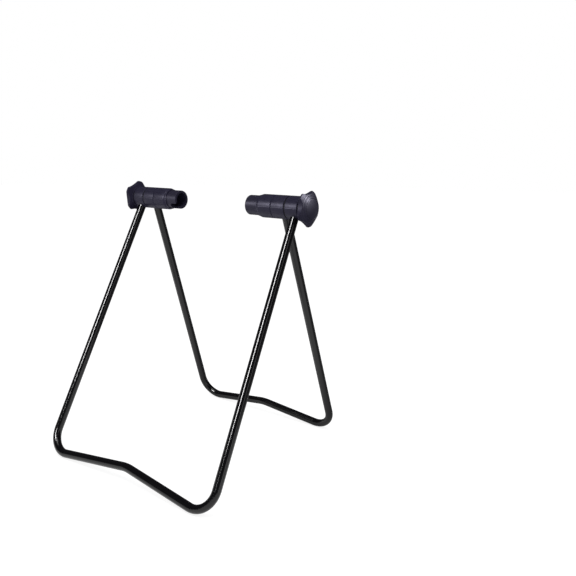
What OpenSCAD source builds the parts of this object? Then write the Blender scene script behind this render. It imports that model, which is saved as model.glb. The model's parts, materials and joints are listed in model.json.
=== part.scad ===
// Folding bike repair stand: two bent tube frames that hinge on one axis,
// and two screw-driven cups that grip the ends of a wheel's axle.
// X runs along the hinge axis, the long frame stands towards -Y, and Z is up.
// The origin is on the floor, in the middle of the stand's outline.

/* [Stand] */
// Height of the hinge and wheel axis above the floor
axis_h = 365; // [340:1:380]
// Clear distance between the tips of the two cups
cup_gap = 134; // [124:1:142]

/* [Tube frames] */
// Outer diameter of the frame tube
tube_d = 12; // [10:0.5:13]
// Wall of the frame tube
tube_wall = 1.2; // [0.8:0.1:2]
// Bend radius at the feet, to the tube's centreline
bend_r = 30; // [24:1:36]
// Bend radius where each floor bar rises in the middle
rise_r = 60; // [30:1:90]
// Front frame: how far it leans from upright, in degrees
front_lean = 27.8; // [24:0.1:30]
// Front frame: half distance between the centres of the foot bends
front_spread = 125.3; // [115:0.1:135]
// Front frame: how far the middle of the floor bar is bent up
front_rise = 15.2; // [8:0.1:20]
// Rear frame: how far it leans from upright, in degrees
rear_lean = 19.3; // [14:0.1:20]
// Rear frame: half distance between the centres of the foot bends
rear_spread = 104.7; // [96:0.1:112]
// Rear frame: how far the middle of the floor bar is bent up
rear_rise = 14.2; // [8:0.1:18]

/* [Collars] */
// Outer diameter of the three plastic collars
collar_d = 32.6; // [31.6:0.1:36]
// Length of the guide collar that carries the cup
guide_len = 26.8; // [25:0.1:32]
// Length of the inner collar on the rear frame
inner_len = 21.7; // [20:0.1:26]
// Length of the outer collar on the front frame
outer_len = 20.3; // [19.6:0.1:24]
// Diameter of the slim neck at the mouth of the guide collar
neck_d = 29.8; // [29.6:0.1:30.6]
// Width of the slim neck and its shoulder together
shoulder_len = 4.7; // [3.8:0.1:5.5]
// Wall at the closed end of the inner and outer collars
end_wall = 2.9; // [2.6:0.1:4]
// Bevel on the collars' outer edges
collar_bevel = 0.8; // [0.4:0.1:1]

/* [Pivot] */
// Outer diameter of the steel eye at the top of each leg
eye_d = 27.6; // [26.8:0.1:28]
// Outer diameter of the pivot sleeve that the eyes turn on
sleeve_d = 21.6; // [21:0.1:22.2]
// Inner diameter of the pivot sleeve
sleeve_bore_d = 19; // [18.8:0.1:19.4]
// Length of the sleeve's solid end, which carries the spindle
sleeve_end = 8.6; // [6:0.1:10]
// Thickness of the friction washer between the turning collars
friction_t = 1.2; // [0.6:0.1:1.6]
// Thickness of the thrust washer under the knob
thrust_t = 1.3; // [0.6:0.1:1.6]
// Width of the stop tab, in degrees around the axis
tab_angle = 30; // [20:1:40]
// How far the stop tab reaches into its pocket
tab_bite = 3; // [2:0.1:4]

/* [Cups] */
// Outer diameter of the cups
cup_d = 27.6; // [27:0.1:28]
// How far each cup stands out of its guide collar
cup_out = 19; // [17:0.1:24]
// Inner diameter of the cup's pocket
pocket_d = 20.4; // [18:0.1:21]
// Depth of the cup's pocket
pocket_depth = 20; // [17:0.1:22]
// Width of the notch for the quick-release lever
notch_w = 12; // [8:0.5:13]
// Length of the notch
notch_len = 13; // [9:0.5:15]
// Where the notch points, in degrees from straight down towards the front
notch_at = 40; // [0:5:90]
// How far a cup draws back as its knob is turned
travel = 15; // [10:0.5:15]
// Width of the key that stops the cup from turning
key_w = 3; // [2:0.1:4]
// Height of the key
key_h = 1; // [0.8:0.1:1.1]

/* [Knobs] */
// Diameter over the knob's lobes
knob_d = 50; // [44:0.5:56]
// Diameter at the hollows between the lobes
knob_hollow_d = 44; // [38:0.5:48]
// Number of lobes
lobes = 5; // [4:1:6]
// Where one lobe of the left knob points, in degrees from straight down towards the back
left_turn = 168; // [0:1:360]
// Where one lobe of the right knob points, in degrees from straight down towards the back
right_turn = 8; // [0:1:360]
// Length of the knob's neck
knob_neck = 1.2; // [1:0.1:3]
// Length of the flare from neck to rim
knob_flare = 3; // [2.6:0.1:5]
// Width of the rim
knob_rim = 3.3; // [2.6:0.1:5]
// Height of the front cone
knob_cone = 5.3; // [5:0.1:8]
// Diameter of the round cap in the front of the knob
cap_d = 26.8; // [24:0.1:28]
// Height of the cap's dome over its edge
cap_dome = 2; // [1:0.1:4]

/* [Screw] */
// Diameter of the spindle's thread
screw_d = 8; // [6:1:8]
// Distance across the flats of the spindle's head and of the nut
hex_af = 13; // [12:0.5:13]
// Height of the spindle's head
head_h = 5.3; // [4:0.1:6]
// Height of the captive nut
nut_h = 6.5; // [5:0.1:8]
// Thickness of the retaining clip
clip_t = 1; // [0.8:0.1:1.2]

/* [Hidden] */
// Radial clearance of a shaft in its bore, and the gap at a turning face
fit = 0.05;
face_gap = 0.2;
// Clearance around pieces that are only dropped in
loose = 0.15;
// How far an eye stays back from the open end of its collar
eye_gap = 0.3;
// A bead, a hair wider than the tube, where a straight meets a bend
bead = 0.8;
bead_gap = 0.3;
bead_r = 0.1;
$fn = 72;

tube_r = tube_d / 2;
collar_r = collar_d / 2;
eye_r = eye_d / 2;
sleeve_r = sleeve_d / 2;
eye_bore_r = sleeve_r + fit;
cavity_r = eye_r + fit;
cup_r = cup_d / 2;
screw_r = screw_d / 2;
screw_hole_r = screw_r + fit;

// Stations along the axis, measured outwards from the middle of the stand
tip_at = cup_gap / 2;
guide_at = tip_at + cup_out;
inner_at = guide_at + guide_len;
inner_end = inner_at + inner_len;
outer_at = inner_end + friction_t + face_gap;
outer_end = outer_at + outer_len;
sleeve_tip = outer_end + face_gap;
knob_at = sleeve_tip + thrust_t + face_gap / 2;
flare_at = knob_at + knob_neck;
rim_at = flare_at + knob_flare;
cone_at = rim_at + knob_rim;
front_at = cone_at + knob_cone;

// Eyes fill their collars up to the closed ends, and leave a gap between them
rear_eye_at = inner_at + end_wall;
rear_eye_end = inner_end - eye_gap;
front_eye_at = outer_at + eye_gap;
front_eye_end = outer_end - end_wall;
rear_leg_at = rear_eye_at + tube_r + 3.1;
front_leg_at = front_eye_end - tube_r - 0.9;

// Length of each frame from the axis to its lowest centreline, so that both stand on the floor
front_reach = (axis_h - tube_r) / cos(front_lean);
rear_reach = (axis_h - tube_r) / cos(rear_lean);
fold = front_lean + rear_lean;
front_foot = front_reach * sin(front_lean);
rear_foot = rear_reach * sin(rear_lean);
axis_y = (front_foot - rear_foot) / 2;

// Key, keyway and the guided part of the cup
keyway_at = guide_at + shoulder_len;
key_at = keyway_at + face_gap;
spigot_len = 1.5;
spigot_r = cup_r + key_h;
cup_end = inner_at - travel - 0.5;
stem_r = sleeve_bore_d / 2 - 0.3;
stem_len = 12.1;
stem_end = cup_end + stem_len;
nut_at = stem_end - nut_h;
screw_tip = nut_at - 2 * face_gap;
stem_hole_r = screw_r + 4 * loose;

// Spindle head, retaining clip and the cap's seat
clip_groove_r = screw_r - 0.6;
clip_at = sleeve_tip - sleeve_end - face_gap / 2 - clip_t;
cap_lip = 1;
cap_seat = front_at - cap_lip;
cap_spigot_r = hex_af / sqrt(3) + 2.1;
cap_spigot = 2.1;
head_at = cap_seat - cap_spigot - face_gap - head_h;

// ---- Placing ----

// Children are drawn along +Z, outwards from the middle, with +X down
module on_hub(side) {
    translate([0, axis_y, axis_h])
        mirror([side < 0 ? 1 : 0, 0, 0])
            rotate([0, 90, 0]) children();
}

// Children are drawn in a frame's own plane, with the axis at y = 0 and the feet at -y
module in_frame(tilt) {
    translate([0, axis_y, axis_h]) rotate([90 - tilt, 0, 0]) children();
}

// A plain ring or disc between two stations
module ring(from, to, outer, inner = 0) {
    translate([0, 0, from])
        difference() {
            cylinder(r = outer, h = to - from);
            if (inner > 0)
                translate([0, 0, -1]) cylinder(r = inner, h = to - from + 2);
        }
}

// A piece of a ring, centred on an angle
module sector(from, to, outer, inner, at, width) {
    translate([0, 0, from])
        rotate([0, 0, at - width / 2])
            rotate_extrude(angle = width)
                translate([inner, 0]) square([outer - inner, to - from]);
}

// A revolved solid from [radius, station] points
module turned(points) {
    rotate_extrude() polygon(points);
}

// ---- Tube frames ----

// Direction of the tangent from a point to a circle, on the side that `side` gives
function tangent_angle(from, centre, r, side) =
    atan2(centre[1] - from[1], centre[0] - from[0])
        + side * asin(r / norm(centre - from));

function on_line(from, angle, length) = from + length * [cos(angle), sin(angle)];

// One round bar in the frame's plane
module bar(from, to, r) {
    run = to - from;
    translate([from[0], from[1], 0])
        rotate([0, 0, atan2(run[1], run[0])])
            rotate([0, 90, 0]) cylinder(r = r, h = norm(run));
}

// One round bend in the frame's plane. It stops a hair short of each straight.
module bend(centre, radius, from, to, r) {
    hair = bead_gap / radius * 180 / PI;
    translate([centre[0], centre[1], 0])
        rotate([0, 0, from + hair])
            rotate_extrude(angle = to - from - 2 * hair)
                translate([radius, 0]) circle(r = r);
}

// The whole bent bar: two legs, two foot bends, and a floor bar that rises in the middle.
// Each leg starts `start` away from the axis, and a bead joins each straight to its bend.
module bent_bar(top, reach, spread, rise, r, start) {
    foot = [spread, -(reach - bend_r)];
    hub = [top, 0];
    peak = [0, -(reach - rise)];
    leg_angle = tangent_angle(hub, foot, bend_r, 1);
    bar_angle = tangent_angle(peak, foot, bend_r, -1);
    leg_end = on_line(foot, leg_angle + 90, bend_r);
    bar_end = on_line(foot, bar_angle - 90, bend_r);
    bar_start = on_line(peak, bar_angle, rise_r * tan(-bar_angle));
    for (side = [0, 1])
        mirror([side, 0, 0]) {
            bar(on_line(hub, leg_angle, start), on_line(leg_end, leg_angle, -bead_gap), r);
            bar(on_line(leg_end, leg_angle, -bead), on_line(leg_end, leg_angle, bead), r + bead_r);
            bend(foot, bend_r, bar_angle - 90, leg_angle + 90, r);
            bar(on_line(bar_end, bar_angle, -bead), on_line(bar_end, bar_angle, bead), r + bead_r);
            bar(on_line(bar_start, bar_angle, bead_gap), on_line(bar_end, bar_angle, -bead_gap), r);
            bar(on_line(bar_start, bar_angle, -bead), on_line(bar_start, bar_angle, bead),
                r + bead_r);
        }
    bend([0, peak[1] - rise_r / cos(bar_angle)], rise_r, 90 + bar_angle, 90 - bar_angle, r);
}

module frame(tilt, top, reach, spread, rise, eye_from, eye_to) {
    difference() {
        union() {
            in_frame(tilt) bent_bar(top, reach, spread, rise, tube_r, eye_bore_r + 1);
            for (side = [-1, 1])
                on_hub(side) ring(eye_from, eye_to, eye_r, eye_bore_r);
        }
        in_frame(tilt)
            bent_bar(top, reach, spread, rise, tube_r - tube_wall, eye_bore_r - 2);
    }
}

// Angle around the hub where the stop tab stands with the stand open
tab_at = 180 - fold / 2;

module front_frame() {
    color("#0c0c0e") {
        union() {
            frame(front_lean, front_leg_at, front_reach, front_spread, front_rise,
                  front_eye_at, front_eye_end);
            for (side = [-1, 1])
                on_hub(side)
                    sector(rear_eye_end - tab_bite, front_eye_at + 1,
                           eye_r - 0.4, eye_bore_r + 0.4, tab_at, tab_angle);
        }
    }
}

module rear_frame() {
    color("#0c0c0e")
        difference() {
            frame(-rear_lean, rear_leg_at, rear_reach, rear_spread, rear_rise,
                  rear_eye_at, rear_eye_end);
            for (side = [-1, 1])
                on_hub(side)
                    sector(rear_eye_end - tab_bite - eye_gap, rear_eye_end + 1,
                           eye_r - 0.2, eye_bore_r + 0.2, 180, fold + tab_angle + 0.6);
        }
}

// ---- Collars ----

// Outline of a bevelled collar, closed at one end by a wall around the sleeve
module collar_shell(from, to, wall_from, wall_to) {
    difference() {
        turned([
            [eye_bore_r, from], [collar_r - collar_bevel, from],
            [collar_r, from + collar_bevel], [collar_r, to - collar_bevel],
            [collar_r - collar_bevel, to], [eye_bore_r, to],
        ]);
        if (wall_from > from) ring(from - 1, wall_from, cavity_r);
        if (wall_to < to) ring(wall_to, to + 1, cavity_r);
    }
}

// The round port that a leg comes out through
module leg_port(side, tilt, top, reach, spread) {
    angle = tangent_angle([top, 0], [spread, -(reach - bend_r)], bend_r, 1);
    in_frame(tilt)
        mirror([side < 0 ? 1 : 0, 0, 0])
            bar(on_line([top, 0], angle, eye_bore_r + 1),
                on_line([top, 0], angle, collar_r + 4), tube_r + loose);
}

module outer_collar(side) {
    color("#3a3640")
        difference() {
            on_hub(side)
                collar_shell(outer_at, outer_end, front_eye_end, outer_end);
            leg_port(side, front_lean, front_leg_at, front_reach, front_spread);
        }
}

module inner_collar(side) {
    color("#3a3640")
        difference() {
            on_hub(side)
                difference() {
                    collar_shell(inner_at, inner_end, inner_at, rear_eye_at);
                    ring(inner_at - 1, inner_at + spigot_len + 0.1, spigot_r + fit);
                }
            leg_port(side, -rear_lean, rear_leg_at, rear_reach, rear_spread);
        }
}

module guide_collar(side) {
    neck_r = neck_d / 2;
    neck_end = guide_at + shoulder_len / 2;
    shoulder_end = guide_at + shoulder_len * 0.85;
    color("#3a3640")
        on_hub(side)
            difference() {
                turned([
                    [cup_r + fit, guide_at], [neck_r - 0.3, guide_at],
                    [neck_r, guide_at + 0.3], [neck_r, neck_end],
                    [collar_r - 0.5, shoulder_end],
                    [collar_r, guide_at + shoulder_len + 0.6],
                    [collar_r, inner_at - collar_bevel],
                    [collar_r - collar_bevel, inner_at], [spigot_r, inner_at],
                    [spigot_r, inner_at + spigot_len], [cup_r + fit, inner_at + spigot_len],
                ]);
                translate([-cup_r - key_h - loose, -key_w / 2 - loose, keyway_at])
                    cube([cup_r, key_w + 2 * loose, guide_len]);
            }
}

// ---- Pivot and screw ----

module pivot_sleeve(side) {
    color("#8d8f94")
        on_hub(side)
            difference() {
                ring(inner_at + spigot_len + 0.2, sleeve_tip, sleeve_r, screw_hole_r);
                ring(inner_at, sleeve_tip - sleeve_end, sleeve_bore_d / 2);
            }
}

module friction_washer(side) {
    color("#141416")
        on_hub(side)
            ring(inner_end, inner_end + friction_t, collar_r - 0.9, cavity_r + 0.1);
}

module thrust_washer(side) {
    color("#141416")
        on_hub(side) ring(sleeve_tip, sleeve_tip + thrust_t, collar_r - 1.5, screw_hole_r);
}

module hexagon(from, height, flats) {
    translate([0, 0, from]) cylinder(d = 2 * flats / sqrt(3), h = height, $fn = 6);
}

// The head sits in the knob's hexagon, so it stands at the same turn
module spindle(side, turn) {
    color("#a6a8ac")
        on_hub(side)
            difference() {
                union() {
                    turned([
                        [0, screw_tip], [screw_r - 0.8, screw_tip],
                        [screw_r, screw_tip + 0.8], [screw_r, head_at + 0.5],
                        [0, head_at + 0.5],
                    ]);
                    rotate([0, 0, turn]) hexagon(head_at, head_h, hex_af);
                }
                ring(clip_at - fit, clip_at + clip_t + fit, screw_r + 2, clip_groove_r);
            }
}

module retaining_clip(side) {
    gap = 2 * clip_groove_r - 0.6;
    color("#2a2a2c")
        on_hub(side)
            difference() {
                ring(clip_at, clip_at + clip_t, screw_r + 3, clip_groove_r + fit);
                translate([0, -gap / 2, clip_at - 1]) cube([screw_r + 4, gap, clip_t + 2]);
            }
}

module captive_nut(side) {
    color("#a6a8ac")
        on_hub(side)
            difference() {
                hexagon(nut_at, nut_h, hex_af);
                ring(nut_at - 1, nut_at + nut_h + 1, screw_hole_r);
            }
}

// ---- Cups ----

module cup() {
    difference() {
        union() {
            turned([
                [0, tip_at], [cup_r - 1, tip_at], [cup_r - 0.3, tip_at + 0.3],
                [cup_r, tip_at + 1], [cup_r, cup_end - 0.5], [cup_r - 0.5, cup_end],
                [stem_r, cup_end], [stem_r, stem_end], [0, stem_end],
            ]);
            translate([-cup_r - key_h, -key_w / 2, key_at])
                cube([key_h + 2, key_w, cup_end - key_at]);
        }
        ring(tip_at - 1, tip_at + pocket_depth, pocket_d / 2);
        ring(tip_at, stem_end + 1, stem_hole_r);
        hexagon(nut_at, nut_h + 1, hex_af + 2 * fit);
    }
}

module nut_cup(side) {
    color("#3a3640") on_hub(side) cup();
}

// The lever's notch opens downwards and to the front
module lever_cup(side) {
    color("#3a3640")
        on_hub(side)
            difference() {
                cup();
                rotate([0, 0, -notch_at])
                    translate([0, -notch_w / 2, tip_at - 1])
                        cube([cup_r + 1, notch_w, notch_len - notch_w / 2 + 1]);
                rotate([0, 0, -notch_at])
                    translate([0, 0, tip_at + notch_len - notch_w / 2])
                        rotate([0, 90, 0]) cylinder(d = notch_w + 0.6, h = cup_r + 1);
            }
}

// ---- Knobs ----

// A disc with a shallow round hollow between each pair of lobes
module lobed_outline() {
    hollow_r = knob_hollow_d / 2;
    difference() {
        circle(d = knob_d);
        for (i = [0 : lobes - 1])
            rotate([0, 0, (i + 0.5) * 360 / lobes])
                translate([2 * hollow_r, 0]) circle(r = hollow_r);
    }
}

module knob(side, turn) {
    rim_r = knob_d / 2;
    seat_r = cap_d / 2 + 0.6;
    color("#3a3640")
        on_hub(side)
            rotate([0, 0, turn])
                difference() {
                    intersection() {
                        turned([
                            [0, knob_at], [collar_r - 0.8, knob_at],
                            [collar_r - 0.3, knob_at + 0.5], [collar_r + 0.2, flare_at],
                            [rim_r - 1.8, rim_at - 0.4], [rim_r - 0.4, rim_at + 0.3],
                            [rim_r, rim_at + 1], [rim_r, cone_at - 0.8],
                            [rim_r - 0.8, cone_at], [seat_r + 1.2, front_at - 0.2],
                            [seat_r + 0.4, front_at], [0, front_at],
                        ]);
                        translate([0, 0, knob_at - 1])
                            linear_extrude(front_at - knob_at + 2) lobed_outline();
                    }
                    ring(knob_at - 1, front_at + 1, screw_hole_r);
                    hexagon(head_at, front_at - head_at, hex_af + 2 * loose);
                    ring(cap_seat - cap_spigot - 0.1, front_at + 1, cap_spigot_r + fit);
                    ring(cap_seat, front_at + 1, seat_r);
                }
}

module knob_cap(side) {
    cap_r = cap_d / 2;
    dome_r = (cap_r * cap_r + cap_dome * cap_dome) / (2 * cap_dome);
    color("#3a3640")
        on_hub(side)
            union() {
                ring(cap_seat - cap_spigot, cap_seat + 0.2, cap_spigot_r);
                intersection() {
                    ring(cap_seat, front_at + cap_dome + 1, cap_r);
                    translate([0, 0, front_at + cap_dome - dome_r]) sphere(r = dome_r, $fn = 180);
                }
            }
}

front_frame();
rear_frame();
outer_collar(-1);  // outer_collar_left
outer_collar(1);  // outer_collar_right
inner_collar(-1);  // inner_collar_left
inner_collar(1);  // inner_collar_right
guide_collar(-1);  // guide_collar_left
guide_collar(1);  // guide_collar_right
pivot_sleeve(-1);  // pivot_sleeve_left
pivot_sleeve(1);  // pivot_sleeve_right
friction_washer(-1);  // friction_washer_left
friction_washer(1);  // friction_washer_right
thrust_washer(-1);  // thrust_washer_left
thrust_washer(1);  // thrust_washer_right
spindle(-1, left_turn);  // spindle_left
spindle(1, right_turn);  // spindle_right
retaining_clip(-1);  // retaining_clip_left
retaining_clip(1);  // retaining_clip_right
knob(-1, left_turn);  // knob_left
knob(1, right_turn);  // knob_right
knob_cap(-1);  // knob_cap_left
knob_cap(1);  // knob_cap_right
captive_nut(-1);  // captive_nut_left
captive_nut(1);  // captive_nut_right
lever_cup(-1);  // lever_cup_left
nut_cup(1);  // nut_cup_right
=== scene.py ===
# %% [markdown]
# A folding bike repair stand: two bent steel tube frames that share one hinge
# axis, plastic collars around the hinge, a cup on each side that grips the end
# of a wheel's axle, and a lobed knob outside each cup.
#
# The construction is already made. It arrives as a frame of solid parts that
# stand at their real size, and this lesson dresses it. Some parts only need a
# finish. Others get a finer surface that stands in for the plain solid.

# %% Load the frame
import json
import math

import bmesh
import bpy
from mathutils import Matrix, Vector

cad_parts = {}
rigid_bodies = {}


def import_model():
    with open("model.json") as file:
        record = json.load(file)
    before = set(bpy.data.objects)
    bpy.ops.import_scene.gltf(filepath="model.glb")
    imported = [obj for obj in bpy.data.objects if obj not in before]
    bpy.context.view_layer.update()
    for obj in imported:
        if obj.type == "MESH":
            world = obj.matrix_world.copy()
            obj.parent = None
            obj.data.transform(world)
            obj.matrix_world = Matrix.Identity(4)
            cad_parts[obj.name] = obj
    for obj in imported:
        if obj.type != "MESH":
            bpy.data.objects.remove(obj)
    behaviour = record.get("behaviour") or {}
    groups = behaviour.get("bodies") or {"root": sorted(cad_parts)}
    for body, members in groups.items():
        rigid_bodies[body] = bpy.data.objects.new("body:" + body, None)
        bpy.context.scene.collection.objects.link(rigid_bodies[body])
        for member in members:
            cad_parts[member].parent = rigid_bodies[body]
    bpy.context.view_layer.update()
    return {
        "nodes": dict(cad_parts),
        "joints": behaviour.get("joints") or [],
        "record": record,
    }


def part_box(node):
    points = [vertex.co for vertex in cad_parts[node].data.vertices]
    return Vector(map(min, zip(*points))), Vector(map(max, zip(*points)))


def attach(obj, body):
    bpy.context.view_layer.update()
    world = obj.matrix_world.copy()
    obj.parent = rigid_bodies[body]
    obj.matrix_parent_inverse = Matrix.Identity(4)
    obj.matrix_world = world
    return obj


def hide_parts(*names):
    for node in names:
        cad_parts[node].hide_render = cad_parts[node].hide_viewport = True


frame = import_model()
nodes = frame["nodes"]

# %% [markdown]
# Everything on the stand is laid out from the hinge axis, so its place is read
# from the fold joint and not typed in. A hub point is given by how far out it
# lies from the middle of the stand, its radius and its angle around the axis.

# %% Find the hinge axis
MM = 0.001
SIDES = {"left": -1, "right": 1}
fold = next(joint for joint in frame["joints"] if joint["name"] == "frame_fold")
AXIS = Vector(fold["pos_m"])


def hub_point(side, out, radius, angle):
    """A point around the hinge axis. Angle 0 is straight down, 90 is to the back."""
    turn = math.radians(angle)
    return Vector((
        side * out,
        AXIS.y + radius * math.sin(turn),
        AXIS.z - radius * math.cos(turn),
    ))


print(f"hinge axis {AXIS.z / MM:.0f} mm up, {AXIS.y / MM:.1f} mm behind the middle")

# %% [markdown]
# Shader maths reads best as arithmetic. This small class holds one output of a
# shader node, and each sign between two of them adds the Math node that does
# the same sum. The reflected forms let a plain number stand on the left, so
# that 1 - mask works.


# %% Arithmetic on sockets
class Wire:
    """One node output that can be used in an expression."""

    def __init__(self, tree, socket):
        self.tree, self.socket = tree, socket

    def sum_with(self, operation, first, second):
        return self.tree.node("ShaderNodeMath", {"operation": operation}, {0: first, 1: second})

    def __add__(self, other):
        return self.sum_with("ADD", self, other)

    def __radd__(self, other):
        return self.sum_with("ADD", other, self)

    def __sub__(self, other):
        return self.sum_with("SUBTRACT", self, other)

    def __rsub__(self, other):
        return self.sum_with("SUBTRACT", other, self)

    def __mul__(self, other):
        return self.sum_with("MULTIPLY", self, other)

    def __rmul__(self, other):
        return self.sum_with("MULTIPLY", other, self)


print("signs that make a Math node: + - *")

# %% [markdown]
# A material is a tree of nodes, and so is the world. Every node is added by one
# method that takes its type, its settings, and a value or a wire for each of
# its sockets. The few kinds of node that a finish uses again and again, such as
# noise or a bump, get a short name of their own on top of it.


# %% Node recipes
class Recipe:
    """The node tree of one material, or of the world."""

    def __init__(self, tree):
        self.tree = tree
        tree.nodes.clear()

    def node(self, kind, settings=None, inputs=None, output=0):
        """Adds a node: its settings first, then the values or wires of its sockets."""
        node = self.tree.nodes.new(kind)
        for name, value in (settings or {}).items():
            setattr(node, name, value)
        for name, value in (inputs or {}).items():
            if isinstance(value, Wire):
                self.tree.links.new(value.socket, node.inputs[name])
            else:
                node.inputs[name].default_value = value
        return Wire(self, node.outputs[output]) if node.outputs else None

    def noise(self, place, size, detail=2.0, rough=0.5):
        """Soft random blotches, about `size` metres across."""
        return self.node(
            "ShaderNodeTexNoise", {},
            {"Vector": place, "Scale": 1 / size, "Detail": detail, "Roughness": rough},
        )

    def blend(self, amount, low, high):
        """A colour between two colours."""
        return self.node(
            "ShaderNodeMix", {"data_type": "RGBA"}, {0: amount, 6: low, 7: high}, output=2
        )

    def steps(self, value, low, high):
        """0 below `low`, 1 above `high`, and smooth between them."""
        return self.node(
            "ShaderNodeMapRange", {"interpolation_type": "SMOOTHSTEP"},
            {"Value": value, "From Min": low, "From Max": high},
        )

    def bump(self, height, depth, before=None):
        """A normal from a height of 0 to 1 that stands for `depth` metres."""
        inputs = {"Height": height, "Distance": depth, "Strength": 1.0}
        if before:
            inputs["Normal"] = before
        return self.node("ShaderNodeBump", {}, inputs)


def new_recipe(name):
    material = bpy.data.materials.new(name)
    material.use_nodes = True
    return material, Recipe(material.node_tree)


def surface(recipe, inputs):
    """Ends a recipe in one Principled surface."""
    shader = recipe.node("ShaderNodeBsdfPrincipled", {}, inputs)
    recipe.node("ShaderNodeOutputMaterial", {}, {"Surface": shader})


def on_object(recipe):
    """Coordinates that stick to the piece, in metres."""
    return recipe.node("ShaderNodeTexCoord", output=3)


print("short names:", ", ".join(name for name in vars(Recipe) if not name.startswith("_")))


# %% [markdown]
# The tubes are sprayed or dipped in black gloss paint. Such paint is almost a
# mirror, but not quite flat: it dries with a faint orange peel, and where the
# tube is bent the steel wrinkles a little under it, so the bright lines break
# up into specks there. The wrinkles are driven by an attribute that the tube's
# mesh carries. It is 1 in a foot bend, up to a half in the shallow rise of the
# floor bar, and 0 on the straights.


# %% Black gloss paint
def black_paint():
    material, paint = new_recipe("black gloss paint")
    place = on_object(paint)
    bent = paint.node("ShaderNodeAttribute", {"attribute_name": "bend"}, output=2)
    peel = paint.noise(place, 1.6 * MM, detail=1.0)
    wrinkle = paint.noise(place, 2.2 * MM, detail=3.0)
    handling = paint.steps(paint.noise(place, 30 * MM, detail=4.0), 0.45, 0.75)
    smooth = paint.bump(peel, 0.001 * MM)
    normal = paint.bump(wrinkle * bent, 0.28 * MM, smooth)
    surface(paint, {
        "Base Color": (0.003, 0.0025, 0.004, 1),
        "Roughness": 0.14 + 0.05 * handling - 0.03 * bent,
        "Specular IOR Level": 0.35,
        "Normal": normal,
    })
    return material


FINISHES = {"black_paint": black_paint()}
print("paint nodes:", len(FINISHES["black_paint"].node_tree.nodes))

# %% [markdown]
# The collars, cups and knobs are moulded in a dark plastic with a bluish cast.
# The mould was spark-eroded, which leaves a fine sandy grain that spreads the
# highlights. Handling polishes that grain, so the roughness wanders a little.
# All three get one recipe with their own colour, grain and shine. The knobs are
# of a softer, rubbery plastic, which mirrors less.


# %% Moulded plastic
def moulded_plastic(name, colour, lighter, grain, shine, mirror=0.22):
    """Dark plastic between two colours, with a grain of one size, a roughness and a mirror."""
    material, plastic = new_recipe(name)
    place = on_object(plastic)
    sand = plastic.noise(place, grain, detail=3.0, rough=0.6)
    cloud = plastic.noise(place, 9 * MM, detail=3.0)
    rubbed = plastic.steps(plastic.noise(place, 14 * MM, detail=2.0), 0.4, 0.7)
    surface(plastic, {
        "Base Color": plastic.blend(cloud, (*colour, 1), (*lighter, 1)),
        "Roughness": shine - 0.08 * rubbed + 0.06 * sand,
        "Specular IOR Level": mirror,
        "Specular Tint": (0.80, 0.77, 1.0, 1),
        "Normal": plastic.bump(sand, 0.02 * MM),
    })
    return material


FINISHES |= {
    "collar_plastic": moulded_plastic(
        "collar plastic", (0.019, 0.017, 0.040), (0.030, 0.027, 0.054), 0.45 * MM, 0.40),
    "knob_plastic": moulded_plastic(
        "knob plastic", (0.020, 0.018, 0.038), (0.031, 0.028, 0.056), 0.55 * MM, 0.44, 0.12),
    "cup_plastic": moulded_plastic(
        "cup plastic", (0.019, 0.017, 0.036), (0.030, 0.027, 0.050), 0.45 * MM, 0.40),
}
print("plastics:", ", ".join(slot for slot in FINISHES if "plastic" in slot))

# %% [markdown]
# Inside the cups sit zinc-plated steel parts. Zinc is a soft grey metal whose
# plating is slightly cloudy, so both its colour and its roughness vary. The
# washers are plain black nylon, which has a fine grain and hardly shines.


# %% Zinc plate and nylon
def zinc_plate():
    material, zinc = new_recipe("zinc plated steel")
    place = on_object(zinc)
    cloud = zinc.noise(place, 4 * MM, detail=4.0)
    surface(zinc, {
        "Base Color": zinc.blend(cloud, (0.42, 0.43, 0.45, 1), (0.60, 0.61, 0.62, 1)),
        "Metallic": 1.0,
        "Roughness": 0.28 + 0.18 * cloud,
        "Normal": zinc.bump(cloud, 0.01 * MM),
    })
    return material


def black_nylon():
    material, nylon = new_recipe("black nylon")
    grain = nylon.noise(on_object(nylon), 0.8 * MM)
    surface(nylon, {
        "Base Color": (0.006, 0.006, 0.007, 1),
        "Roughness": 0.55 + 0.1 * grain,
        "Specular IOR Level": 0.12,
        "Normal": nylon.bump(grain, 0.01 * MM),
    })
    return material


FINISHES |= {"washer_nylon": black_nylon(), "zinc_steel": zinc_plate()}
print("finishes:", ", ".join(FINISHES))

# %% [markdown]
# The record says which finish each solid part has, and all of them get it. Some
# will later be hidden behind a finer piece. The others stay as they are: the
# cups, the spindles and everything else that a plain solid shows well.

# %% Hand out the finishes
slot_of = {part["node"]: part["material_slot"] for part in frame["record"]["subparts"]}
for name, piece in nodes.items():
    piece.data.materials.clear()
    piece.data.materials.append(FINISHES[slot_of[name]])
print(len(nodes), "solid parts finished")

# %% [markdown]
# Tubes are best made by sweeping a ring of points along a path. The path here
# is the one that the tube bender followed: straight down a leg, round a foot
# bend, along the floor bar, and over the shallow rise in its middle. Bends get
# a ring every few degrees. Straights need only a ring at each end, and a few
# close to a bend that keep its shading off them. Each ring remembers how far it
# lies in a bend, for the paint's wrinkles.

# %% Tube path
TUBE = 6 * MM
FOOT_BEND, FOOT_RINGS = 30 * MM, 40
RISE_BEND, RISE_RINGS = 60 * MM, 8
FADE_RINGS = 5
RISE_WRINKLE = 0.5
BESIDE_BEND = (12 * MM, 4 * MM)


def tangent(start, centre, radius, hand):
    """Direction from a point to touch a circle, on its left or right."""
    reach = centre - start
    return math.atan2(reach.y, reach.x) + hand * math.asin(radius / reach.length)


def heading(angle, length=1.0):
    return Vector((math.cos(angle), math.sin(angle))) * length


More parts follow.
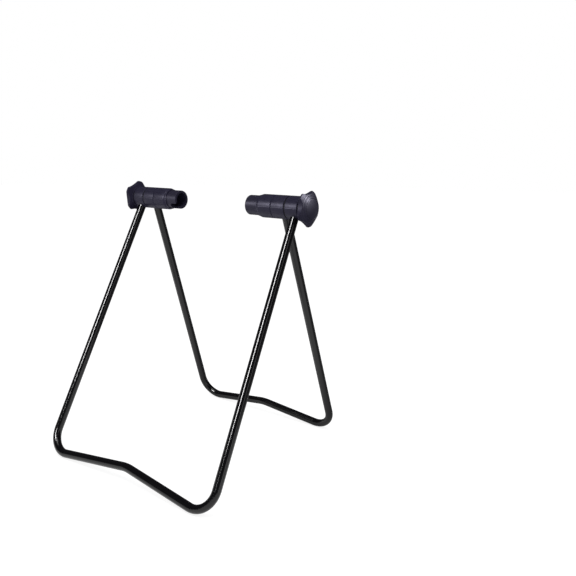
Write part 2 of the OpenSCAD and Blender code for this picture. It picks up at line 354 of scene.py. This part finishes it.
def half_path(top, reach, spread, rise, start):
    """(point, bend) pairs from the top of the right leg to the middle of the floor bar."""
    foot = Vector((spread, FOOT_BEND - reach))
    peak = Vector((0.0, rise - reach))
    leg = tangent(Vector((top, 0.0)), foot, FOOT_BEND, 1)
    bar = tangent(peak, foot, FOOT_BEND, -1)
    path = [(Vector((top, 0.0)) + heading(leg, start), 0.0)]
    leg_end = foot + heading(leg + math.pi / 2, FOOT_BEND)
    path += [(leg_end - heading(leg, length), 0.0) for length in (40 * MM, *BESIDE_BEND)]
    for i in range(FOOT_RINGS + 1):
        angle = leg + math.pi / 2 + (bar - leg - math.pi) * i / FOOT_RINGS
        edge = min(i, FOOT_RINGS - i) / FADE_RINGS
        path.append((foot + heading(angle, FOOT_BEND), min(1.0, edge)))
    bar_end = foot + heading(bar - math.pi / 2, FOOT_BEND)
    bar_start = peak + heading(bar, RISE_BEND * math.tan(-bar))
    path += [(bar_end - heading(bar, length), 0.0) for length in reversed(BESIDE_BEND)]
    path += [(bar_start + heading(bar, length), 0.0) for length in BESIDE_BEND]
    centre = Vector((0.0, peak.y - RISE_BEND / math.cos(bar)))
    for i in range(RISE_RINGS + 1):
        angle = math.pi / 2 + bar * (1 - i / RISE_RINGS)
        path.append((centre + heading(angle, RISE_BEND), RISE_WRINKLE * i / RISE_RINGS))
    return path


print(f"tube {2 * TUBE / MM:.0f} mm thick, foot bends of {FOOT_BEND / MM:.0f} mm radius")


# %% [markdown]
# Each piece is built as a bmesh, point by point and face by face, and becomes
# an object at the end. Its faces are turned outwards, and it is shaded smooth
# except along the edges that turn hard.


# %% From mesh to object
def finish_mesh(name, mesh, smooth_angle=40):
    """Turns a bmesh into an object whose edges stay sharp only where they turn hard."""
    bmesh.ops.recalc_face_normals(mesh, faces=mesh.faces)
    data = bpy.data.meshes.new(name)
    mesh.to_mesh(data)
    mesh.free()
    piece = bpy.data.objects.new(name, data)
    bpy.context.scene.collection.objects.link(piece)
    data.shade_smooth()
    data.set_sharp_from_angle(angle=math.radians(smooth_angle))
    return piece


# %% [markdown]
# A bender squeezes a thin tube slightly oval, which every bent tube shows when
# light runs along it. The rings are narrowed a little across the bend, never
# widened, so that the piece stays inside the solid tube it stands for.


# %% Sweep a tube
SQUEEZE = 0.03


def bent_tube(name, lean, sides=40, **sizes):
    """One frame tube, swept in its own plane and leant about the hinge axis."""
    right = half_path(**sizes)
    left = [(Vector((-point.x, point.y)), bend) for point, bend in reversed(right[:-1])]
    path = right + left
    to_stand = Matrix.Translation(AXIS) @ Matrix.Rotation(math.radians(90 - lean), 4, "X")
    mesh, marks, rings = bmesh.new(), [], []
    for i, (point, bend) in enumerate(path):
        before, after = path[max(i - 1, 0)][0], path[min(i + 1, len(path) - 1)][0]
        along = (after - before).normalized()
        across = Vector((along.y, -along.x, 0.0))
        ring = []
        for k in range(sides):
            turn = 2 * math.pi * k / sides
            oval = TUBE * (1 - SQUEEZE * bend)
            offset = across * oval * math.cos(turn) + Vector((0, 0, TUBE * math.sin(turn)))
            ring.append(mesh.verts.new(to_stand @ (point.to_3d() + offset)))
            marks.append(bend)
        rings.append(ring)
    for one, two in zip(rings, rings[1:]):
        for k in range(sides):
            n = (k + 1) % sides
            mesh.faces.new((one[k], one[n], two[n], two[k]))
    for end in (rings[0], rings[-1]):
        mesh.faces.new(end)
    piece = finish_mesh(name, mesh)
    bend_mark = piece.data.attributes.new("bend", "FLOAT", "POINT")
    bend_mark.data.foreach_set("value", marks)
    print(f"{name}: {len(rings)} rings of {sides} points")
    return piece


# %% [markdown]
# A finished piece has to know three things: its finish, the body that carries
# it when the stand is folded or a knob is turned, and the solid part that it
# stands for. With that, the two frame tubes can be made. Each is given in its
# own flat plane and then leant about the hinge axis, so that both floor bars
# come to lie on the floor.


# %% The two frame tubes
def settle(piece, body, slot, *stands_for):
    """Gives a piece its finish and hands it to the body that carries it."""
    piece.data.materials.append(FINISHES[slot])
    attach(piece, body)
    if stands_for:
        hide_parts(*stands_for)


FRONT_LEAN, REAR_LEAN = 27.8, -19.3
drop = AXIS.z - TUBE
front_tube = bent_tube(
    "front_tube", FRONT_LEAN, top=146.4 * MM, spread=125.3 * MM, rise=15.2 * MM,
    reach=drop / math.cos(math.radians(FRONT_LEAN)), start=12 * MM)
rear_tube = bent_tube(
    "rear_tube", REAR_LEAN, top=124.8 * MM, spread=104.7 * MM, rise=14.2 * MM,
    reach=drop / math.cos(math.radians(REAR_LEAN)), start=12 * MM)
settle(front_tube, "front", "black_paint", "front_frame")
settle(rear_tube, "rear", "black_paint", "rear_frame")

# %% [markdown]
# Nearly everything else on the stand is round, and was moulded or turned, so a
# lathe is the natural tool. An outline of (out, radius) points is spun around
# the hinge axis. Real moulded edges are never sharp, and the soft edge is what
# catches the light, so each corner of an outline is first rounded.


# %% Rounded outlines
EDGE_SHARE = 0.45


def rounded(corners, soft=0.4 * MM, steps=4):
    """Rounds every corner of a closed outline with a small curve.

    A curve takes `soft` of each edge, but never more than a share of a short one.
    """
    outline = []
    for i, corner in enumerate(corners):
        here = Vector(corner)
        before, after = Vector(corners[i - 1]), Vector(corners[(i + 1) % len(corners)])
        back, onward = before - here, after - here
        start = here + back.normalized() * min(soft, back.length * EDGE_SHARE)
        end = here + onward.normalized() * min(soft, onward.length * EDGE_SHARE)
        for k in range(steps + 1):
            t = k / steps
            outline.append((1 - t) ** 2 * start + 2 * t * (1 - t) * here + t * t * end)
    return outline


def filled(outline, spacing):
    """Adds points to an outline until none are further apart than `spacing`."""
    dense = []
    for here, after in zip(outline, outline[1:] + outline[:1]):
        parts = max(1, math.ceil((after - here).length / spacing))
        dense += [here.lerp(after, k / parts) for k in range(parts)]
    return dense


# %% [markdown]
# The spun mesh is a ring of columns, one per angle. A shape function may change
# the radius at each angle, which turns a plain lathe into one that can also cut
# lobes or raise a seam.


# %% Lathe
SAME_POINT = 1e-7


def lathe(name, side, outline, angles=tuple(range(0, 360, 3)), shape=None, smooth_angle=40):
    """Spins a closed outline of (out, radius) points around the hinge axis."""
    mesh, columns = bmesh.new(), []
    for angle in angles:
        column = []
        for out, radius in outline:
            reach = shape(angle, out, radius) if shape else radius
            column.append(mesh.verts.new(hub_point(SIDES[side], out, reach, angle)))
        columns.append(column)
    for one, two in zip(columns, columns[1:] + columns[:1]):
        for k in range(len(outline)):
            n = (k + 1) % len(outline)
            mesh.faces.new((one[k], one[n], two[n], two[k]))
    bmesh.ops.remove_doubles(mesh, verts=mesh.verts, dist=SAME_POINT)
    print(f"{name}_{side}: {len(angles)} columns of {len(outline)} points")
    return finish_mesh(f"{name}_{side}", mesh, smooth_angle)


# %% [markdown]
# A collar comes out of a two-part mould. Where the halves met, a hair of plastic
# was left along the part, in front and behind. It is only a tenth of a
# millimetre high, but it draws a fine bright line at grazing light. The columns
# stand closer together beside the seam, so that it stays crisp.

# %% Mould seam
SEAMS = (90, 270)
SEAM_HIGH, SEAM_WIDE = 0.12 * MM, 0.28 * MM
BESIDE_SEAM = (-2, -1.2, -0.6, 0.6, 1.2, 2)


def seam_angles(step=3):
    """Angles around the axis, with extra ones beside each seam."""
    extra = [seam + offset for seam in SEAMS for offset in BESIDE_SEAM]
    return tuple(sorted(set(range(0, 360, step)) | set(extra)))


def with_seam(skin):
    """A shape that raises the seam on the outside, where the radius is over `skin`."""
    def shape(angle, out, radius):
        if radius < skin:
            return radius
        off = min(abs((angle - seam + 180) % 360 - 180) for seam in SEAMS)
        away = math.radians(off) * radius / SEAM_WIDE
        return radius - SEAM_HIGH * (1 - math.exp(-away * away))
    return shape


print(f"seams at {SEAMS} degrees, {SEAM_HIGH / MM:.2f} mm high")


# %% [markdown]
# Three collars sit side by side on each hub. The outer one is closed at the
# knob, the inner one at the cup's side, and both hide the steel eye of a leg.
# Their ends are read from the boxes of the solid parts. Where two collars meet,
# each has a small bevel first, so that the joint between them reads as a dark
# groove.


# %% Outer collars
def span(node, side):
    """How far out a node begins and ends, measured from the middle."""
    low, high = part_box(f"{node}_{side}")
    ends = sorted((abs(low[0]), abs(high[0])))
    return ends[0], ends[1]


COLLAR, BORE, CAVITY, WALL = 16.3 * MM, 10.85 * MM, 13.85 * MM, 2.9 * MM
LIP = 0.7 * MM
INSIDE = 14.1 * MM
skin = with_seam(INSIDE)
for side in SIDES:
    start, end = span("outer_collar", side)
    outline = rounded([
        (start, CAVITY), (start, COLLAR - LIP), (start + LIP, COLLAR), (end - LIP, COLLAR),
        (end, COLLAR - LIP), (end, BORE), (end - WALL, BORE), (end - WALL, CAVITY)])
    piece = lathe("outer_shell", side, outline, seam_angles(), skin)
    settle(piece, "front", "collar_plastic", f"outer_collar_{side}")

# %% [markdown]
# The guide collar carries the cup, and necks down where the cup comes out. Its
# other end has a thin spigot that fits into a socket of the inner collar. The
# two never turn on each other, so their bevel is steeper and the groove finer.

# %% Inner and guide collars
SOCKET, SOCKET_DEEP = 14.85 * MM, 1.6 * MM
SPIGOT, SPIGOT_LONG = 14.8 * MM, 1.5 * MM
BEVEL_LONG, BEVEL_DEEP = 0.6 * MM, 0.9 * MM
CUP_BORE, NECK = 13.85 * MM, 14.9 * MM
SHOULDER = ((2.3 * MM, NECK), (4.2 * MM, COLLAR - 0.4 * MM), (5.6 * MM, COLLAR))
for side in SIDES:
    start, end = span("inner_collar", side)
    outline = rounded([
        (start, SOCKET), (start, COLLAR - BEVEL_DEEP), (start + BEVEL_LONG, COLLAR),
        (end - LIP, COLLAR), (end, COLLAR - LIP), (end, CAVITY),
        (start + WALL, CAVITY), (start + WALL, BORE), (start + SOCKET_DEEP, BORE),
        (start + SOCKET_DEEP, SOCKET)], soft=0.3 * MM)
    piece = lathe("inner_shell", side, outline, seam_angles(), skin)
    settle(piece, "rear", "collar_plastic", f"inner_collar_{side}")

    start, tip = span("guide_collar", side)
    end = tip - SPIGOT_LONG
    outline = rounded([
        (start, CUP_BORE), (start, NECK),
        *((start + out, radius) for out, radius in SHOULDER),
        (end - BEVEL_LONG, COLLAR), (end, COLLAR - BEVEL_DEEP),
        (end, SPIGOT), (tip, SPIGOT), (tip, CUP_BORE)])
    piece = lathe("guide_shell", side, outline, seam_angles(), skin)
    settle(piece, "rear", "collar_plastic", f"guide_collar_{side}")

# %% [markdown]
# The knob is a mushroom with five lobes for the fingers. One shape function
# holds its plan: a circle with a round hollow between each pair of lobes. The
# smaller of "profile" and "plan" wins at every point, and a smooth minimum
# rounds the edge where they meet, as a moulder would.


# %% Knob plan
LOBES, LOBE_TIP = 5, 25 * MM
HOLLOW, HOLLOW_AWAY = 24.2 * MM, 44 * MM
TIP_SOFT, EDGE_SOFT = 0.5 * MM, 0.25 * MM


def soft_min(one, two, soft):
    """The smaller of two lengths, with a rounded change between them."""
    return -soft * math.log(math.exp(-one / soft) + math.exp(-two / soft))


def lobed(turn):
    """A shape that keeps the radius inside the lobes, with one lobe at `turn`."""
    def shape(angle, out, radius):
        off = math.radians((angle - turn) % (360 / LOBES) - 180 / LOBES)
        across = HOLLOW ** 2 - (HOLLOW_AWAY * math.sin(off)) ** 2
        edge = LOBE_TIP
        if across > 0:
            edge = min(4 * LOBE_TIP, HOLLOW_AWAY * math.cos(off) - math.sqrt(across))
            edge = soft_min(LOBE_TIP, edge, TIP_SOFT)
        return soft_min(radius, edge, EDGE_SOFT)
    return shape


print(f"{LOBES} lobes of {LOBE_TIP / MM:.0f} mm, hollows {(HOLLOW_AWAY - HOLLOW) / MM:.1f} mm")

# %% [markdown]
# The profile starts at a short neck, flares out to the rim, and comes back in a
# shallow cone to the seat of the round cap. Two turned grooves run round the
# cone. The points stand close together, because the lobes are cut out of them.
# The hollows go a little deeper than those of the solid knob, so that the neck
# shows between two lobes.

# %% Knobs
NECK_LONG, FLARE_LONG, RIM_LONG = 1.2 * MM, 3.0 * MM, 3.3 * MM
SEAT, SPINDLE_HOLE, HEAD_ROOM = 14 * MM, 4.05 * MM, 9.65 * MM
SEAT_DEEP, HEAD_DEEP = 1 * MM, 8 * MM
GROOVES_AT = (0.42, 0.66)
GROOVE = ((-0.4, 0), (-0.1, 0.18), (0.1, 0.18), (0.4, 0))
KNOB_TURNS = {"left": 168, "right": 8}
FINE = tuple(i * 1.5 for i in range(240))


def knob_profile(start, end):
    """The closed outline of a knob, from its neck to the cap's seat and back inside."""
    flare = start + NECK_LONG
    rim = flare + FLARE_LONG
    cone = rim + RIM_LONG
    corners = [
        (start, SPINDLE_HOLE), (start, COLLAR - 1.2 * MM), (start + 0.6 * MM, COLLAR - 0.2 * MM),
        (flare, COLLAR + 0.2 * MM),
        (rim, LOBE_TIP - 1.2 * MM), (rim + 1.2 * MM, LOBE_TIP), (cone - 0.6 * MM, LOBE_TIP),
        (cone + 0.2 * MM, LOBE_TIP - 1.4 * MM),
    ]
    inward, rise = LOBE_TIP - SEAT, end - cone
    for away in GROOVES_AT:
        radius, out = LOBE_TIP - inward * away, cone + rise * away
        for offset, depth in GROOVE:
            corners.append((out - depth * MM + offset * 0.4 * MM, radius - offset * MM))
    corners += [
        (end - 0.1 * MM, SEAT + 0.9 * MM), (end, SEAT),
        (end - SEAT_DEEP, SEAT), (end - SEAT_DEEP, HEAD_ROOM),
        (end - HEAD_DEEP, HEAD_ROOM), (end - HEAD_DEEP, SPINDLE_HOLE),
    ]
    return filled(rounded(corners, soft=0.5 * MM, steps=3), spacing=0.5 * MM)


for side, turn in KNOB_TURNS.items():
    profile = knob_profile(*span("knob", side))
    piece = lathe("knob_body", side, profile, FINE, lobed(turn), smooth_angle=50)
    settle(piece, f"knob_{side}", "knob_plastic", f"knob_{side}")

# %% [markdown]
# A low domed cap snaps into the front of each knob and hides the spindle's
# head. Its edge stands back a little from the seat, which leaves a dark line
# all round.

# %% Knob caps
CAP, DOME = 13.8 * MM, 2 * MM
PLUG, PLUG_LONG = 9.6 * MM, 2.1 * MM
DOME_RINGS = (13, 12, 10.5, 9, 7, 5, 3, 1.5, 0)
for side in SIDES:
    start, end = span("knob_cap", side)
    edge = end - DOME
    cap = [(start, 0.0), (start, PLUG), (start + PLUG_LONG, PLUG), (start + PLUG_LONG, CAP),
           (edge - 0.1 * MM, CAP)]
    cap += [(edge + DOME * (1 - (ring * MM / CAP) ** 2), ring * MM) for ring in DOME_RINGS]
    piece = lathe("knob_dome", side, cap, tuple(range(0, 360, 4)), smooth_angle=35)
    settle(piece, f"knob_{side}", "knob_plastic", f"knob_cap_{side}")

# %% [markdown]
# Each leg is welded to a steel eye that turns inside its collar. The eyes are
# hidden, but they are what the stand hinges on, so they are made as well.

# %% Hinge eyes
EYE, EYE_BORE = 13.8 * MM, BORE - 0.2 * MM
PLAY = 0.3 * MM


def hinge_eye(name, side, start, end):
    """A flat steel ring around the axis, from one distance out to another."""
    ring = rounded([(start, EYE_BORE), (start, EYE), (end, EYE), (end, EYE_BORE)])
    return lathe(name, side, ring)


for side in SIDES:
    start, end = span("outer_collar", side)
    settle(hinge_eye("front_eye", side, start + PLAY, end - WALL), "front", "black_paint")
    start, end = span("inner_collar", side)
    settle(hinge_eye("rear_eye", side, start + WALL, end - PLAY), "rear", "black_paint")

# %% [markdown]
# The camera stands in front of the stand and to its right, a little above the
# hubs, and looks down at it slightly, with a touch of tilt. Its place is in the
# stand's own metres.

# %% Camera
CAMERA_AT = Vector((0.64275, AXIS.y - 0.72282, 0.4365))
TURN, DOWN, TILT = math.radians(35.18), math.radians(11.65), math.radians(0.86)
facing = Vector((-math.sin(TURN), math.cos(TURN), 0.0))
ahead = math.cos(DOWN) * facing - math.sin(DOWN) * Vector((0, 0, 1))
level = Vector((math.cos(TURN), math.sin(TURN), 0.0))
upright = level.cross(ahead)
right_hand = math.cos(TILT) * level + math.sin(TILT) * upright
overhead = math.cos(TILT) * upright - math.sin(TILT) * level
camera_data = bpy.data.cameras.new("camera")
camera_data.sensor_width = 36
camera_data.lens = 40.835
camera_data.clip_start = 0.01
camera = bpy.data.objects.new("camera", camera_data)
bpy.context.scene.collection.objects.link(camera)
turned = Matrix((right_hand, overhead, -ahead)).transposed().to_4x4()
camera.matrix_world = Matrix.Translation(CAMERA_AT) @ turned
bpy.context.scene.camera = camera
print(f"camera {CAMERA_AT.length:.2f} m from the middle of the floor")


# %% [markdown]
# The stand is shown on white. The floor is a white sheet that takes the soft
# shadows of the feet. The world is white where it is looked at directly or
# through something clear, but it gives the object only an even, plain light.
# What a shiny surface mirrors is a studio that is lit from the front: the sheet
# and the horizon are white before the stand, and they darken behind it and
# towards the ceiling. Black gloss paint needs that. It shows nothing but its
# reflections, so an all-white room would turn it grey, and it is the dark back
# of the studio that draws a dark edge down the right of every leg.


# %% White floor
WHITE = (1, 1, 1, 1)


def rays(recipe):
    """Three switches: what the camera sees, what is mirrored, and what is seen through."""
    return [recipe.node("ShaderNodeLightPath", output=number) for number in (0, 3, 6)]


def white_floor():
    """A card that takes shadows, and a glow that keeps it white and darkens to the back."""
    material, sheet = new_recipe("white floor")
    seen, mirrored, through = rays(sheet)
    back = sheet.node("ShaderNodeSeparateXYZ", {}, {0: on_object(sheet)}, output=1)
    card = sheet.node("ShaderNodeBsdfDiffuse", {}, {"Color": (0.40, 0.40, 0.40, 1)})
    lit = sheet.node("ShaderNodeEmission", {}, {
        "Color": WHITE, "Strength": 0.85 * seen + mirrored + through})
    unlit = sheet.node("ShaderNodeEmission", {}, {
        "Color": WHITE, "Strength": 0.85 * seen + through})
    glow = sheet.node("ShaderNodeMixShader", {}, {
        0: sheet.steps(back, 0.0, 0.25), 1: lit, 2: unlit})
    both = sheet.node("ShaderNodeAddShader", {}, {0: card, 1: glow})
    sheet.node("ShaderNodeOutputMaterial", {}, {"Surface": both})
    return material


bpy.ops.mesh.primitive_circle_add(
    vertices=96, radius=8, fill_type="NGON", location=(0, 0, -0.3 * MM))
floor = bpy.context.object
floor.name = "floor"
floor.data.materials.append(white_floor())
print(f"floor {floor.dimensions.x:.0f} m across")

# %% [markdown]
# The world follows the same plan. Three plain backgrounds are mixed: air for
# the even light, paper for whatever is looked at, and gloom for what is
# mirrored from the back of the studio or from its ceiling.

# %% Studio world
world = bpy.data.worlds.new("studio")
bpy.context.scene.world = world
world.use_nodes = True
sky = Recipe(world.node_tree)
seen, mirrored, through = rays(sky)
direct = sky.node(
    "ShaderNodeMath", {"operation": "MINIMUM"}, {0: seen + mirrored + through, 1: 1.0})
looking = sky.node("ShaderNodeTexCoord", output=0)
back = sky.node("ShaderNodeSeparateXYZ", {}, {0: looking}, output=1)
upward = sky.node("ShaderNodeSeparateXYZ", {}, {0: looking}, output=2)
horizon = (1 - sky.steps(upward, -0.02, 0.20)) * (1 - sky.steps(back, -0.3, 0.3))
air, paper, gloom = (
    sky.node("ShaderNodeBackground", {}, {"Color": WHITE, "Strength": strength})
    for strength in (0.45, 1.0, 0.08))
room = sky.node("ShaderNodeMixShader", {}, {0: mirrored * (1 - horizon), 1: paper, 2: gloom})
mixed = sky.node("ShaderNodeMixShader", {}, {0: direct, 1: air, 2: room})
sky.node("ShaderNodeOutputWorld", {}, {"Surface": mixed})
print("world nodes:", len(world.node_tree.nodes))

# %% [markdown]
# Each lamp has one job. A tall strip in front draws the bright line down the
# glossy legs, and its lower end is where that line fades out above the foot. A
# weak strip on the right adds a second, fainter line. Two soft boxes put the
# sheen on the plastic, one along the hubs and one on the near knob's face. The
# same lamp would be far too strong or too wide on the other material, so each
# is linked only to the pieces that it is meant for, and it adds no plain light.
# One broad box overhead lights everything and casts the shadow.


# %% Lamps
def soft_box(name, place, aim, size, power):
    light = bpy.data.lights.new(name, "AREA")
    light.shape = "RECTANGLE"
    light.size, light.size_y = size
    light.energy = power
    lamp = bpy.data.objects.new(name, light)
    lamp.location = place
    lamp.rotation_euler = (Vector(aim) - Vector(place)).to_track_quat("-Z", "Y").to_euler()
    bpy.context.scene.collection.objects.link(lamp)
    return lamp


tubes = bpy.data.collections.new("tubes")
hubs = bpy.data.collections.new("hubs")
right_knob = bpy.data.collections.new("right knob")
for piece in bpy.context.scene.objects:
    if piece in (front_tube, rear_tube):
        tubes.objects.link(piece)
    elif piece.type == "MESH" and piece is not floor:
        hubs.objects.link(piece)
        if piece.name in ("knob_body_right", "knob_dome_right"):
            right_knob.objects.link(piece)
for name, takers, place, size, power in (
        ("front strip", tubes, (-0.096, -1.915, 1.636), (0.34, 1.18), 90),
        ("right strip", tubes, (1.9, -0.5, 0.7), (0.20, 1.6), 3),
        ("hub box", hubs, (-0.8, -1.6, 0.95), (0.9, 0.35), 40),
        ("knob box", right_knob, (1.7, 0.80, 1.30), (0.6, 0.5), 180)):
    box = soft_box(name, place, (0, 0, 0.25), size, power)
    box.visible_diffuse = False
    box.light_linking.receiver_collection = takers
soft_box("overhead", (0.3, -0.5, 2.2), (0, 0, 0.2), (1.4, 1.0), 16)

# %% [markdown]
# The plain "Standard" view keeps white paper white, where a film-like view would
# turn it grey.

# %% View
bpy.context.scene.view_settings.view_transform = "Standard"
